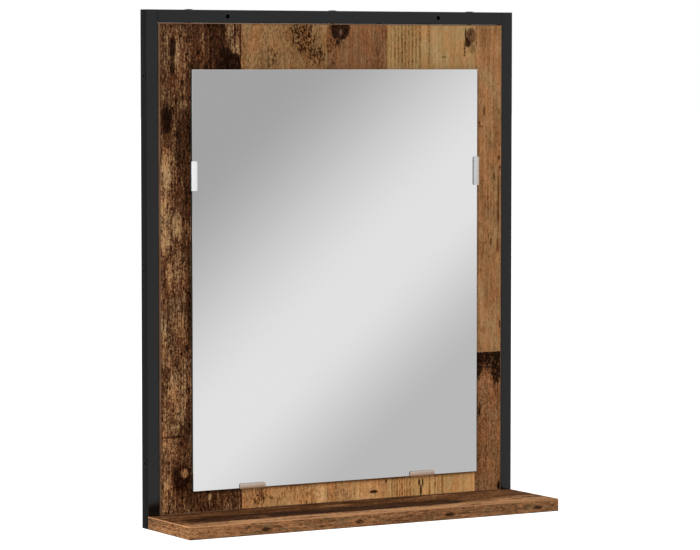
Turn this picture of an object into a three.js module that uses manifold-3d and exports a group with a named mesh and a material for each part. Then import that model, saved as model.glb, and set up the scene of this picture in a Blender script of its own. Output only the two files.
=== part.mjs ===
// Wall mirror with a shelf: a bolted frame of black square tube round a wood panel,
// a glass pane in clear clips, and a wood shelf screwed to the bottom rail from behind.
// Millimetres. +X to the viewer's right, +Z up, the front faces -Y and the wall plane is Y = 0.
// The origin lies on the wall plane, midway between the two wall-fixing holes.

import * as THREE from 'three';
import { mergeVertices } from 'three/addons/utils/BufferGeometryUtils.js';
import Module from 'manifold-3d';

const wasm = await Module();
wasm.setup();

// ---- Driving dimensions -------------------------------------------------

const overallWidth = 500;
const overallHeight = 600;
const overallDepth = 120; // from the wall to the shelf's front edge

const clearance = 0.25; // between any two pieces that meet
const glueLine = 0.1; // between a board and the band glued to its edge
const cutOverrun = 1; // how far a cutter runs past the face that it opens

const tubeWidth = 15; // as seen from the front
const tubeDepth = 15; // off the wall
const tubeWall = 1.2;
const tubeCornerRadius = 0.8;
const tubeInnerCornerLeast = 0.3;
const plugDepth = 10;
const plugWall = 1.6;

const panelThickness = 15;
const panelBackRecess = 1.5; // from the wall plane to the panel's back
const panelSideGap = 1.2; // between the panel and each post
const panelBandThickness = 1;

const shelfThickness = 15;
const shelfBandThickness = 1;

const boltShankRadius = 2.5;
const boltLength = 30; // under the head
const boltTipChamfer = 0.6;
const boltHeadRadius = 5;
const boltHeadRim = 0.2;
const boltHeadHeight = 0.6;
const boltKeyAcrossFlats = 3;
const boltKeyDepth = 2.2;
const boltsPerTube = 3;
const postBoltInset = 61; // from the panel's end to the first bolt
const railBoltInset = 42;

const insertOuterRadius = 4;
const insertRidgeDepth = 0.5;
const insertLength = 13;
const insertRidges = 3;
const drillPoint = 1.5; // how far a blind hole runs past the fastener in it

const wallHoleRadius = 2.5;
const wallHoleInset = 90; // from the panel's side to the hole's centre

const shelfScrewRadius = 2;
const shelfScrewLength = 40;
const shelfScrewHeadRadius = 4;
const shelfScrewHeadHeight = 2.4;
const shelfScrewTip = 5;
const shelfScrewCount = 4;
const shelfScrewInset = 17.5; // from the rail's end

const mirrorWidth = 390;
const mirrorHeight = 490;
const glassThickness = 4;
const glassEdgeBevel = 0.5;
const mirrorRise = 26; // from the shelf's top to the glass

const clipLength = 34.5;
const clipWall = 1.5;
const clipLipOverlap = 6; // how far the lip reaches over the glass
const clipLegReach = 16; // how far the leg reaches behind the glass
const clipCornerRadius = 2;
const bottomClipInset = 78.5; // from the glass's side to the clip's middle
const sideClipInset = 123; // from the glass's top to the clip's middle

const clipScrewRadius = 1.5;
const clipScrewHeadRadius = 2.8;
const clipScrewHeadRim = 0.2;
const clipScrewTip = 3;
const clipScrewSpacing = 20;
const clipScrewInset = 9; // from the glass's edge, under the glass
const clipScrewRecess = 3; // '+' shaped recess, end to end
const clipScrewRecessWidth = 0.7;
const clipScrewRecessDepth = 0.8;
const panelBackSkin = 3; // wood left behind a clip screw's hole

const fineSteps = 20; // sides of a bolt head or a round hole that shows
const coarseSteps = 12; // sides of a small hidden round piece
const domeSteps = 3;
const cornerSteps = 2;

// ---- Sizes that follow from them ---------------------------------------

const halfWidth = overallWidth / 2;
const frameFront = -tubeDepth;
const frameMidDepth = -tubeDepth / 2;
const wallHoleHeight = overallHeight - tubeWidth / 2;

const openingHalfWidth = halfWidth - tubeWidth;
const openingBottom = tubeWidth;
const openingTop = overallHeight - tubeWidth;

const panelHalfWidth = openingHalfWidth - panelSideGap;
const panelBottom = openingBottom + clearance;
const panelTop = openingTop - clearance;
const panelBack = -panelBackRecess;
const panelFront = panelBack - panelThickness;
const panelMidDepth = panelBack - panelThickness / 2;

const shelfTop = openingBottom;
const shelfBottom = shelfTop - shelfThickness;
const shelfMidHeight = shelfTop - shelfThickness / 2;
const shelfBack = frameFront - clearance;
const shelfFront = -overallDepth;

const tubeInnerCorner = Math.max(tubeCornerRadius - tubeWall, tubeInnerCornerLeast);
const boltHoleRadius = boltShankRadius + clearance;
const boltReach = boltLength - tubeWidth - 2 * clearance;
const insertHoleRadius = insertOuterRadius + clearance;
const insertHoleDepth = Math.max(insertLength, boltReach) + drillPoint;

const mirrorHalfWidth = mirrorWidth / 2;
const mirrorBottom = shelfTop + mirrorRise;
const mirrorTop = mirrorBottom + mirrorHeight;
const clipBack = clearance; // these four are measured out from the panel's front
const clipLegFront = clipBack + clipWall;
const glassBack = clipLegFront + clearance;
const glassFront = glassBack + glassThickness;
const clipWebOutside = clearance + clipWall; // measured out from the glass's edge
const clipScrewReach = panelThickness - panelBackSkin - drillPoint; // into the panel

// ---- Colours and finishes ----------------------------------------------

const finishes = {
  framePaint: { color: 0x1d1e1f, roughness: 0.35, metalness: 0.3 },
  plugPlastic: { color: 0x141414, roughness: 0.6, metalness: 0 },
  panelWood: { color: 0x7a5334, roughness: 0.65, metalness: 0 },
  shelfWood: { color: 0x6b452b, roughness: 0.6, metalness: 0 },
  panelBand: { color: 0x6e523f, roughness: 0.6, metalness: 0 },
  shelfBand: { color: 0x8a5d38, roughness: 0.6, metalness: 0 },
  boltBlack: { color: 0x191a1b, roughness: 0.35, metalness: 0.6 },
  insertZinc: { color: 0xb0a890, roughness: 0.4, metalness: 1 },
  screwSteel: { color: 0xb8babc, roughness: 0.35, metalness: 1 },
  mirror: { color: 0xd8dadc, roughness: 0.03, metalness: 1 },
  clearPlastic: { color: 0xe6eaec, roughness: 0.15, metalness: 0 },
};

function finish(name) {
  const material = new THREE.MeshStandardMaterial(finishes[name]);
  if (name === 'clearPlastic') {
    material.transparent = true;
    material.opacity = 0.5;
  }
  return material;
}

// ---- Joining and cutting -----------------------------------------------

function toSolid(geometry) {
  geometry.deleteAttribute('normal');
  geometry.deleteAttribute('uv');
  const merged = mergeVertices(geometry);
  const vertProperties = new Float32Array(merged.attributes.position.array);
  const triVerts = new Uint32Array(merged.index.array);
  return new wasm.Manifold(new wasm.Mesh({ numProp: 3, vertProperties, triVerts }));
}

function toGeometry(solid) {
  const { vertProperties, triVerts } = solid.getMesh();
  const geometry = new THREE.BufferGeometry();
  geometry.setAttribute('position', new THREE.BufferAttribute(vertProperties, 3));
  geometry.setIndex(new THREE.BufferAttribute(triVerts, 1));
  geometry.computeVertexNormals();
  return geometry;
}

function cut(body, cutters) {
  return cutters.reduce((solid, cutter) => solid.subtract(toSolid(cutter)), body);
}

// ---- Basic shapes --------------------------------------------------------

// A box between two opposite corners.
function block(low, high) {
  const size = high.map((value, axis) => value - low[axis]);
  const middle = high.map((value, axis) => (value + low[axis]) / 2);
  const geometry = new THREE.BoxGeometry(...size);
  geometry.translate(...middle);
  return geometry;
}

const turnToAxis = {
  x: (geometry) => geometry.rotateZ(-Math.PI / 2),
  y: (geometry) => geometry,
  z: (geometry) => geometry.rotateX(Math.PI / 2),
};

// A round bar of one radius along an axis, centred on a point.
function bar(axis, radius, length, centre, steps) {
  const geometry = new THREE.CylinderGeometry(radius, radius, length, steps);
  turnToAxis[axis](geometry);
  geometry.translate(...centre);
  return geometry;
}

// The corner arcs of a rectangle centred on the origin, drawn into a shape or a hole.
function drawRounded(outline, width, depth, radius) {
  const x = width / 2 - radius;
  const y = depth / 2 - radius;
  outline.absarc(x, y, radius, 0, Math.PI / 2);
  outline.absarc(-x, y, radius, Math.PI / 2, Math.PI);
  outline.absarc(-x, -y, radius, Math.PI, 1.5 * Math.PI);
  outline.absarc(x, -y, radius, 1.5 * Math.PI, 2 * Math.PI);
  outline.closePath();
  return outline;
}

function roundedPrism(width, depth, radius, length) {
  const outline = drawRounded(new THREE.Shape(), width, depth, radius);
  const options = { depth: length, bevelEnabled: false, curveSegments: cornerSteps };
  return new THREE.ExtrudeGeometry(outline, options);
}

// Square tube standing on the origin and running up Z.
function squareTube(length) {
  const outline = drawRounded(new THREE.Shape(), tubeWidth, tubeDepth, tubeCornerRadius);
  const innerWidth = tubeWidth - 2 * tubeWall;
  const innerDepth = tubeDepth - 2 * tubeWall;
  outline.holes.push(drawRounded(new THREE.Path(), innerWidth, innerDepth, tubeInnerCorner));
  const options = { depth: length, bevelEnabled: false, curveSegments: cornerSteps };
  return new THREE.ExtrudeGeometry(outline, options);
}

// A solid of revolution about Z from [radius, height] pairs that run upwards.
function turned(pairs, steps) {
  const points = pairs.map(([radius, height]) => new THREE.Vector2(radius, height));
  const geometry = new THREE.LatheGeometry(points, steps);
  geometry.rotateX(Math.PI / 2);
  return geometry;
}

// Places evenly spread between two ends, both ends included.
function spread(first, last, count) {
  const step = (last - first) / (count - 1);
  return Array.from({ length: count }, (_, index) => first + index * step);
}

// ---- Where the fasteners go ----------------------------------------------

const postBoltHeights = spread(panelBottom + postBoltInset, panelTop - postBoltInset, boltsPerTube);
const railBoltEnd = panelHalfWidth - railBoltInset;
const railBoltPlaces = spread(-railBoltEnd, railBoltEnd, boltsPerTube);
const wallHolePlace = panelHalfWidth - wallHoleInset;
const shelfScrewEnd = openingHalfWidth - shelfScrewInset;
const shelfScrewPlaces = spread(-shelfScrewEnd, shelfScrewEnd, shelfScrewCount);

const left = new THREE.Vector3(-1, 0, 0);
const right = new THREE.Vector3(1, 0, 0);
const up = new THREE.Vector3(0, 0, 1);
const down = new THREE.Vector3(0, 0, -1);
const front = new THREE.Vector3(0, -1, 0);

// One entry for each bolt: which tube it holds, and where it enters the panel's edge.
const boltSites = [
  ...postBoltHeights.map((z) => ({ side: 'left', outward: left, edge: [-panelHalfWidth, z] })),
  ...postBoltHeights.map((z) => ({ side: 'right', outward: right, edge: [panelHalfWidth, z] })),
  ...railBoltPlaces.map((x) => ({ side: 'top', outward: up, edge: [x, panelTop] })),
  ...railBoltPlaces.map((x) => ({ side: 'bottom', outward: down, edge: [x, panelBottom] })),
];

// One entry for each clip: the middle of its stretch of the glass's edge, and the way inwards.
const clipSites = [
  { name: 'clip_left', inward: right, edge: [-mirrorHalfWidth, mirrorTop - sideClipInset] },
  { name: 'clip_right', inward: left, edge: [mirrorHalfWidth, mirrorTop - sideClipInset] },
  { name: 'clip_bottom_left', inward: up, edge: [bottomClipInset - mirrorHalfWidth, mirrorBottom] },
  { name: 'clip_bottom_right', inward: up, edge: [mirrorHalfWidth - bottomClipInset, mirrorBottom] },
];

function edgePoint(site, depth) {
  return new THREE.Vector3(site.edge[0], depth, site.edge[1]);
}

// The way along the glass's edge at a clip, so that along, inward and front are right-handed.
function alongEdge(site) {
  return new THREE.Vector3().crossVectors(site.inward, front);
}

// The point on the panel's front under each of a clip's two screws.
function clipScrewPoints(site) {
  return [-clipScrewSpacing / 2, clipScrewSpacing / 2].map((offset) => edgePoint(site, panelFront)
    .addScaledVector(alongEdge(site), offset)
    .addScaledVector(site.inward, clipScrewInset));
}

// ---- Frame ----------------------------------------------------------------

function post(side) {
  const tube = squareTube(overallHeight);
  const x = side * (halfWidth - tubeWidth / 2);
  tube.translate(x, frameMidDepth, 0);
  const drill = tubeWidth + 2 * cutOverrun;
  const holes = postBoltHeights.map((z) => (
    bar('x', boltHoleRadius, drill, [x, panelMidDepth, z], fineSteps)));
  return cut(toSolid(tube), holes);
}

function rail(height, extraHoles) {
  const length = 2 * (openingHalfWidth - clearance);
  const tube = squareTube(length);
  tube.rotateY(Math.PI / 2);
  tube.translate(-length / 2, frameMidDepth, height);
  const drill = tubeWidth + 2 * cutOverrun;
  const holes = railBoltPlaces.map((x) => (
    bar('z', boltHoleRadius, drill, [x, panelMidDepth, height], fineSteps)));
  return cut(toSolid(tube), [...holes, ...extraHoles]);
}

function topRail() {
  const drill = tubeDepth + 2 * cutOverrun;
  const holes = [-wallHolePlace, wallHolePlace].map((x) => (
    bar('y', wallHoleRadius, drill, [x, frameMidDepth, wallHoleHeight], fineSteps)));
  return rail(wallHoleHeight, holes);
}

// Each shelf screw passes a close hole in the front wall, and its head and the driver come in
// through a wider hole in the back wall.
function bottomRail() {
  const closeRadius = shelfScrewRadius + clearance;
  const wideRadius = shelfScrewHeadRadius + clearance;
  const drill = tubeWall + 2 * cutOverrun;
  const holes = shelfScrewPlaces.flatMap((x) => [
    bar('y', closeRadius, drill, [x, frameFront + tubeWall / 2, shelfMidHeight], fineSteps),
    bar('y', wideRadius, drill, [x, -tubeWall / 2, shelfMidHeight], fineSteps),
  ]);
  return rail(tubeWidth / 2, holes);
}

// A hollow plug pressed into a post's end, its closed face level with the tube's end.
function endPlug() {
  const width = tubeWidth - 2 * (tubeWall + clearance);
  const depth = tubeDepth - 2 * (tubeWall + clearance);
  const body = toSolid(roundedPrism(width, depth, tubeInnerCorner, plugDepth));
  const half = [width / 2 - plugWall, depth / 2 - plugWall];
  const pocket = block(
    [-half[0], -half[1], -cutOverrun],
    [half[0], half[1], plugDepth - plugWall],
  );
  return cut(body, [pocket]);
}

// ---- Panel and shelf ---------------------------------------------------

// The blind holes that the inserts sit in, each from just outside the panel's edge.
function insertHoles() {
  return boltSites.map((site) => {
    const axis = site.outward.x === 0 ? 'z' : 'x';
    const length = insertHoleDepth + cutOverrun;
    const centre = edgePoint(site, panelMidDepth)
      .addScaledVector(site.outward, cutOverrun - length / 2);
    return bar(axis, insertHoleRadius, length, centre.toArray(), coarseSteps);
  });
}

function clipPilotHoles() {
  const length = clipScrewReach + drillPoint + cutOverrun;
  return clipSites.flatMap(clipScrewPoints).map((point) => {
    const centre = point.addScaledVector(front, cutOverrun - length / 2);
    return bar('y', clipScrewRadius + clearance, length, centre.toArray(), coarseSteps);
  });
}

function backPanel() {
  const inset = panelBandThickness + glueLine;
  const board = block(
    [inset - panelHalfWidth, panelFront, panelBottom + inset],
    [panelHalfWidth - inset, panelBack, panelTop - inset],
  );
  return cut(toSolid(board), [...insertHoles(), ...clipPilotHoles()]);
}

// The side bands run the panel's full height and the top and bottom bands lie between them.
function panelBands() {
  const inset = panelBandThickness + glueLine;
  const between = panelHalfWidth - inset;
  const boxes = {
    left: [[-panelHalfWidth, panelBottom], [panelBandThickness - panelHalfWidth, panelTop]],
    right: [[panelHalfWidth - panelBandThickness, panelBottom], [panelHalfWidth, panelTop]],
    top: [[-between, panelTop - panelBandThickness], [between, panelTop]],
    bottom: [[-between, panelBottom], [between, panelBottom + panelBandThickness]],
  };
  const holes = insertHoles();
  return Object.entries(boxes).map(([side, [low, high]]) => {
    const band = block([low[0], panelFront, low[1]], [high[0], panelBack, high[1]]);
    const own = holes.filter((_, index) => boltSites[index].side === side);
    return [`panel_edge_band_${side}`, cut(toSolid(band), own)];
  });
}

function shelfBoard() {
  const inset = shelfBandThickness + glueLine;
  const board = block(
    [inset - halfWidth, shelfFront + inset, shelfBottom],
    [halfWidth - inset, shelfBack, shelfTop],
  );
  const reach = shelfScrewLength - tubeWall - 2 * clearance + drillPoint;
  const length = reach + cutOverrun;
  const holes = shelfScrewPlaces.map((x) => {
    const y = shelfBack + cutOverrun - length / 2;
    return bar('y', shelfScrewRadius + clearance, length, [x, y, shelfMidHeight], coarseSteps);
  });
  return cut(toSolid(board), holes);
}

// The front band runs the shelf's full width and the end bands stop behind it.
function shelfBands() {
  const behindFront = shelfFront + shelfBandThickness + glueLine;
  const inner = halfWidth - shelfBandThickness;
  const boxes = {
    front: [[-halfWidth, shelfFront], [halfWidth, shelfFront + shelfBandThickness]],
    left: [[-halfWidth, behindFront], [-inner, shelfBack]],
    right: [[inner, behindFront], [halfWidth, shelfBack]],
  };
  return Object.entries(boxes).map(([side, [low, high]]) => {
    const band = block([low[0], low[1], shelfBottom], [high[0], high[1], shelfTop]);
    return [`shelf_edge_band_${side}`, toSolid(band)];
  });
}

// ---- Fasteners --------------------------------------------------------------

// A low domed bolt with a hexagon socket, its head's seat at the origin and its shank downwards.
function frameBolt() {
  const dome = Array.from({ length: domeSteps + 1 }, (_, step) => {
    const angle = (step / domeSteps) * (Math.PI / 2);
    const rise = (boltHeadHeight - boltHeadRim) * Math.sin(angle);
    const radius = step === domeSteps ? 0 : boltHeadRadius * Math.cos(angle);
    return [radius, boltHeadRim + rise];
  });
  const profile = [
    [0, -boltLength],
    [boltShankRadius - boltTipChamfer, -boltLength],
    [boltShankRadius, boltTipChamfer - boltLength],
    [boltShankRadius, 0],
    [boltHeadRadius, 0],
    ...dome,
  ];
  const socketRadius = boltKeyAcrossFlats / Math.sqrt(3);
  const length = boltKeyDepth + cutOverrun;
  const middle = boltHeadHeight + cutOverrun - length / 2;
  const socket = bar('z', socketRadius, length, [0, 0, middle], 6);
  return cut(toSolid(turned(profile, fineSteps)), [socket]);
}

// A ridged threaded sleeve, its mouth at the origin and its body downwards.
function threadedInsert() {
  const bore = boltShankRadius + clearance;
  const root = insertOuterRadius - insertRidgeDepth;
  const pitch = insertLength / insertRidges;
  const ridges = Array.from({ length: insertRidges }, (_, index) => {
    const base = index * pitch - insertLength;
    return [[root, base], [insertOuterRadius, base + pitch]];
  });
  const profile = [[bore, 0], [bore, -insertLength], ...ridges.flat(), [bore, 0]];
  return toSolid(turned(profile, coarseSteps));
}

// A pan-headed wood screw, its head's seat at the origin and its shank downwards.
function shelfScrew() {
  const profile = [
    [0, -shelfScrewLength],
    [shelfScrewRadius, shelfScrewTip - shelfScrewLength],
    [shelfScrewRadius, 0],
    [shelfScrewHeadRadius, 0],
    [shelfScrewHeadRadius, shelfScrewHeadHeight / 2],
    [shelfScrewHeadRadius / 2, shelfScrewHeadHeight],
    [0, shelfScrewHeadHeight],
  ];
  return toSolid(turned(profile, coarseSteps));
}

// A countersunk wood screw, the top of its head at the origin and its shank downwards.
function clipScrew() {
  const cone = clipScrewHeadRadius - clipScrewRadius;
  const length = clipLegFront + clipScrewReach;
  const profile = [
    [0, -length],
    [clipScrewRadius, clipScrewTip - length],
    [clipScrewRadius, -clipScrewHeadRim - cone],
    [clipScrewHeadRadius, -clipScrewHeadRim],
    [clipScrewHeadRadius, 0],
    [0, 0],
  ];
  const arm = clipScrewRecess / 2;
  const half = clipScrewRecessWidth / 2;
  const recess = [
    block([-arm, -half, -clipScrewRecessDepth], [arm, half, cutOverrun]),
    block([-half, -arm, -clipScrewRecessDepth], [half, arm, cutOverrun]),
  ];
  return cut(toSolid(turned(profile, coarseSteps)), recess);
}

// ---- Glass and clips -----------------------------------------------------

function glassPane() {
  const outline = new THREE.Shape();
  outline.moveTo(-mirrorHalfWidth, 0);
  outline.lineTo(mirrorHalfWidth, 0);
  outline.lineTo(mirrorHalfWidth, mirrorHeight);
  outline.lineTo(-mirrorHalfWidth, mirrorHeight);
  outline.closePath();
  const pane = new THREE.ExtrudeGeometry(outline, {
    depth: glassThickness - 2 * glassEdgeBevel,
    bevelThickness: glassEdgeBevel,
    bevelSize: glassEdgeBevel,
    bevelOffset: -glassEdgeBevel,
    bevelSegments: 1,
  });
  pane.rotateX(Math.PI / 2);
  pane.translate(0, panelFront - glassBack - glassEdgeBevel, mirrorBottom);
  return toSolid(pane);
}

// A hooked clip of clear plastic. X runs along the glass's edge, Y inwards from that edge and
// Z out from the panel's front.
function mirrorClip() {
  const half = clipLength / 2;
  const lipBack = glassFront + clearance;
  const lipFront = lipBack + clipWall;
  const leg = block([-half, -clipWebOutside, clipBack], [half, clipLegReach, clipLegFront]);
  const web = block([-half, -clipWebOutside, clipBack], [half, -clearance, lipFront]);
  const lip = block([-half, -clipWebOutside, lipBack], [half, 0, lipFront]);
  const lipEnd = roundedPrism(clipLength, 2 * clipLipOverlap, clipCornerRadius, clipWall);
  lipEnd.translate(0, 0, lipBack);
  const backCut = block(
    [-half - cutOverrun, -2 * clipLipOverlap, lipBack - cutOverrun],
    [half + cutOverrun, -clearance / 2, lipFront + cutOverrun],
  );
  const hook = toSolid(leg).add(toSolid(web)).add(toSolid(lip));
  return cut(hook.add(cut(toSolid(lipEnd), [backCut])), clipScrewSeats());
}

// The countersunk holes in a clip's leg, a clearance wider than the screws all round.
function clipScrewSeats() {
  const shank = clipScrewRadius + clearance;
  const head = clipScrewHeadRadius + clearance;
  const top = clipLegFront + cutOverrun;
  const seat = clipLegFront - clipScrewHeadRim;
  const profile = [
    [0, clipBack - cutOverrun],
    [shank, clipBack - cutOverrun],
    [shank, seat - (head - shank)],
    [head, seat],
    [head, top],
    [0, top],
  ];
  return [-clipScrewSpacing / 2, clipScrewSpacing / 2].map((offset) => {
    const hole = turned(profile, coarseSteps);
    hole.translate(offset, clipScrewInset, 0);
    return hole;
  });
}

// ---- Assembly ------------------------------------------------------------

const mirrorWithShelf = new THREE.Group();
const assembly = new THREE.Group(); // measured up from the posts' lower ends
assembly.position.z = -wallHoleHeight;
mirrorWithShelf.add(assembly);

function addPiece(name, solid, finishName) {
  const mesh = new THREE.Mesh(toGeometry(solid), finish(finishName));
  mesh.name = name;
  assembly.add(mesh);
  return mesh;
}

// Turns a fastener that was made along Z to lie along its outward direction.
function addFastener(name, solid, finishName, position, outward) {
  const mesh = addPiece(name, solid, finishName);
  mesh.position.copy(position);
  mesh.quaternion.setFromUnitVectors(up, outward);
}

function addFrame() {
  addPiece('left_post', post(-1), 'framePaint');
  addPiece('right_post', post(1), 'framePaint');
  addPiece('top_rail', topRail(), 'framePaint');
  addPiece('bottom_rail', bottomRail(), 'framePaint');
}

function addEndPlugs() {
  for (const [sideName, side] of [['left', -1], ['right', 1]]) {
    const x = side * (halfWidth - tubeWidth / 2);
    const upper = addPiece(`${sideName}_post_top_plug`, endPlug(), 'plugPlastic');
    upper.position.set(x, frameMidDepth, overallHeight - plugDepth);
    const lower = addPiece(`${sideName}_post_bottom_plug`, endPlug(), 'plugPlastic');
    lower.position.set(x, frameMidDepth, plugDepth);
    lower.rotation.x = Math.PI;
  }
}

function addBoards() {
  addPiece('back_panel', backPanel(), 'panelWood');
  for (const [name, band] of panelBands()) {
    addPiece(name, band, 'panelBand');
  }
  addPiece('shelf_board', shelfBoard(), 'shelfWood');
  for (const [name, band] of shelfBands()) {
    addPiece(name, band, 'shelfBand');
  }
}

function addFrameFasteners() {
  boltSites.forEach((site, index) => {
    const number = (index % boltsPerTube) + 1;
    const mouth = edgePoint(site, panelMidDepth);
    const gap = site.outward.x === 0 ? clearance : panelSideGap; // between the panel and the tube
    const seat = mouth.clone().addScaledVector(site.outward, gap + tubeWidth + clearance);
    addFastener(`insert_${site.side}_${number}`, threadedInsert(), 'insertZinc', mouth, site.outward);
    addFastener(`bolt_${site.side}_${number}`, frameBolt(), 'boltBlack', seat, site.outward);
  });
}

function addShelfScrews() {
  const seatDepth = frameFront + tubeWall + clearance;
  const back = front.clone().negate();
  shelfScrewPlaces.forEach((x, index) => {
    const seat = new THREE.Vector3(x, seatDepth, shelfMidHeight);
    addFastener(`shelf_screw_${index + 1}`, shelfScrew(), 'screwSteel', seat, back);
  });
}

function addMirror() {
  addPiece('mirror_glass', glassPane(), 'mirror');
  for (const site of clipSites) {
    const clip = addPiece(site.name, mirrorClip(), 'clearPlastic');
    const turn = new THREE.Matrix4().makeBasis(alongEdge(site), site.inward, front);
    clip.quaternion.setFromRotationMatrix(turn);
    clip.position.copy(edgePoint(site, panelFront));
    clipScrewPoints(site).forEach((point, index) => {
      const top = point.addScaledVector(front, clipLegFront);
      addFastener(`${site.name}_screw_${index + 1}`, clipScrew(), 'screwSteel', top, front);
    });
  }
}

addFrame();
addEndPlugs();
addBoards();
addFrameFasteners();
addShelfScrews();
addMirror();

export default mirrorWithShelf;
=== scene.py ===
"""Wall mirror with a shelf: a black square-tube frame round a plank-look panel, a glass pane in clear
clips, and a shelf of the same board. Everything is in metres, in the frame's own axes."""

import math

import bmesh
import bpy
from mathutils import Matrix, Vector


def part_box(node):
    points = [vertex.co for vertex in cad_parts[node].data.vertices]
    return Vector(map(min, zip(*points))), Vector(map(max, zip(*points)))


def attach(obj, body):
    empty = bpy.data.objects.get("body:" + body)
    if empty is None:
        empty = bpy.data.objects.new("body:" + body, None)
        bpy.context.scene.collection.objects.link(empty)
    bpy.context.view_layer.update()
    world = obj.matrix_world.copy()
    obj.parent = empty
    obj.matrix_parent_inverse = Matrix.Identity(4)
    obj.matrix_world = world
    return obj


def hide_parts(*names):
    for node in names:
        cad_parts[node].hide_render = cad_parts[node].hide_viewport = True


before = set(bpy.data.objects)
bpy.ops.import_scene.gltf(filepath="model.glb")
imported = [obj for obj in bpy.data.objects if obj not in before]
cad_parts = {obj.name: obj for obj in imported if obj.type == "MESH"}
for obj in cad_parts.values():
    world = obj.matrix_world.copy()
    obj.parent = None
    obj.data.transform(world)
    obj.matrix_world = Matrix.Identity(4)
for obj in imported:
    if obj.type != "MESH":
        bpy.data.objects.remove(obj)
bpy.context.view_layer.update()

MM = 0.001

# ---- Places read from the frame ------------------------------------------


def box_round(*nodes):
    """Lowest and highest corner round several CAD nodes."""
    boxes = [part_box(node) for node in nodes]
    low = Vector(min(box[0][axis] for box in boxes) for axis in range(3))
    high = Vector(max(box[1][axis] for box in boxes) for axis in range(3))
    return low, high


post_low, post_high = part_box("left_post")
panel_low, panel_high = box_round("back_panel", "panel_edge_band_left", "panel_edge_band_right",
                                  "panel_edge_band_top", "panel_edge_band_bottom")
glass_low, glass_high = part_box("mirror_glass")
floor_line = post_low.z  # the posts' lower ends: decor heights are measured up from here

# ---- Camera, floor and light ---------------------------------------------

CAMERA_PLACE = (-1.99911, -3.47345, -0.05299)
CAMERA_AZIMUTH = 30.2842  # degrees to the right of straight into the wall
CAMERA_PITCH = 3.6167  # degrees below level
CAMERA_LENS = 173.180  # on a 36 mm wide sensor
CAMERA_SENSOR = 36

FLOOR_DROP = 0.65  # from the posts' lower ends
FLOOR_HALF_WIDTH = 60

ROOM_LIGHT = 0.31  # even light on matt surfaces
ROOM_BRIGHT = 0.95  # overhead and floor, as polished surfaces see them
ROOM_BACK = 0.155  # behind the wall plane, as polished surfaces see it
ROOM_SIDES = 0.56  # all round, as glossy paint sees it
SHEEN_PERIOD = 20  # degrees between two soft bands in the room
SHEEN_START = 24.2  # degrees, where the pattern of bands begins

# How bright the room is along one period of its soft bands.
SHEEN_LEVELS = ((0.0, 0.41), (0.262, 0.41), (0.497, 0.855), (0.518, 0.855), (0.66, 0.544),
                (0.79, 0.544), (1.0, 0.41))

KEY_PLACE = (-2.3, -2.8, 1.1)
KEY_SIZE = 1.8
KEY_POWER = 120


class Graph:
    """Builds one shader tree; each call adds a node and gives the output that it makes."""

    def __init__(self, tree):
        self.tree = tree

    def node(self, kind, inputs=None, **settings):
        node = self.tree.nodes.new("ShaderNode" + kind)
        for name, value in settings.items():
            setattr(node, name, value)
        for name, value in (inputs or {}).items():
            self.feed(node.inputs[name], value)
        return node

    def feed(self, socket, value):
        if isinstance(value, bpy.types.NodeSocket):
            self.tree.links.new(value, socket)
        elif socket.type == "RGBA" and len(value) == 3:
            socket.default_value = (*value, 1)
        else:
            socket.default_value = value

    def math(self, operation, a, b=0.0, clamp=False):
        return self.node("Math", {0: a, 1: b}, operation=operation, use_clamp=clamp).outputs[0]

    def vector(self, operation, a, b=(0, 0, 0)):
        node = self.node("VectorMath", {0: a, 1: b}, operation=operation)
        return node.outputs["Value" if operation == "LENGTH" else "Vector"]

    def split(self, vector):
        return self.node("SeparateXYZ", {0: vector}).outputs

    def join(self, x, y, z):
        return self.node("CombineXYZ", {0: x, 1: y, 2: z}).outputs[0]

    def smooth(self, value, start, end, low=0.0, high=1.0):
        """Turns value smoothly from low at start to high at end."""
        inputs = {"Value": value, "From Min": start, "From Max": end, "To Min": low, "To Max": high}
        return self.node("MapRange", inputs, interpolation_type="SMOOTHSTEP").outputs[0]

    def mix(self, factor, a, b):
        return self.node("Mix", {0: factor, 2: a, 3: b}, data_type="FLOAT").outputs[0]

    def blend(self, factor, a, b, mode="MIX"):
        node = self.node("Mix", {0: factor, 6: a, 7: b}, data_type="RGBA", blend_type=mode)
        return node.outputs[2]

    def noise(self, place, scale, detail=2.0, roughness=0.5):
        inputs = {"Vector": place, "Scale": scale, "Detail": detail, "Roughness": roughness}
        return self.node("TexNoise", inputs).outputs[0]

    def streaks(self, place, stretch, detail=2.0, roughness=0.5):
        """Noise with a scale of its own along each axis."""
        return self.noise(self.vector("MULTIPLY", place, stretch), 1, detail, roughness)

    def ramp(self, value, stops, interpolation="LINEAR"):
        """A colour ramp through (position, colour) stops."""
        node = self.node("ValToRGB", {0: value})
        ramp = node.color_ramp
        ramp.interpolation = interpolation
        for index, (position, colour) in enumerate(stops):
            if index < 2:
                element = ramp.elements[index]
                element.position = position
            else:
                element = ramp.elements.new(position)
            element.color = (*colour, 1)
        return node.outputs[0]


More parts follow.
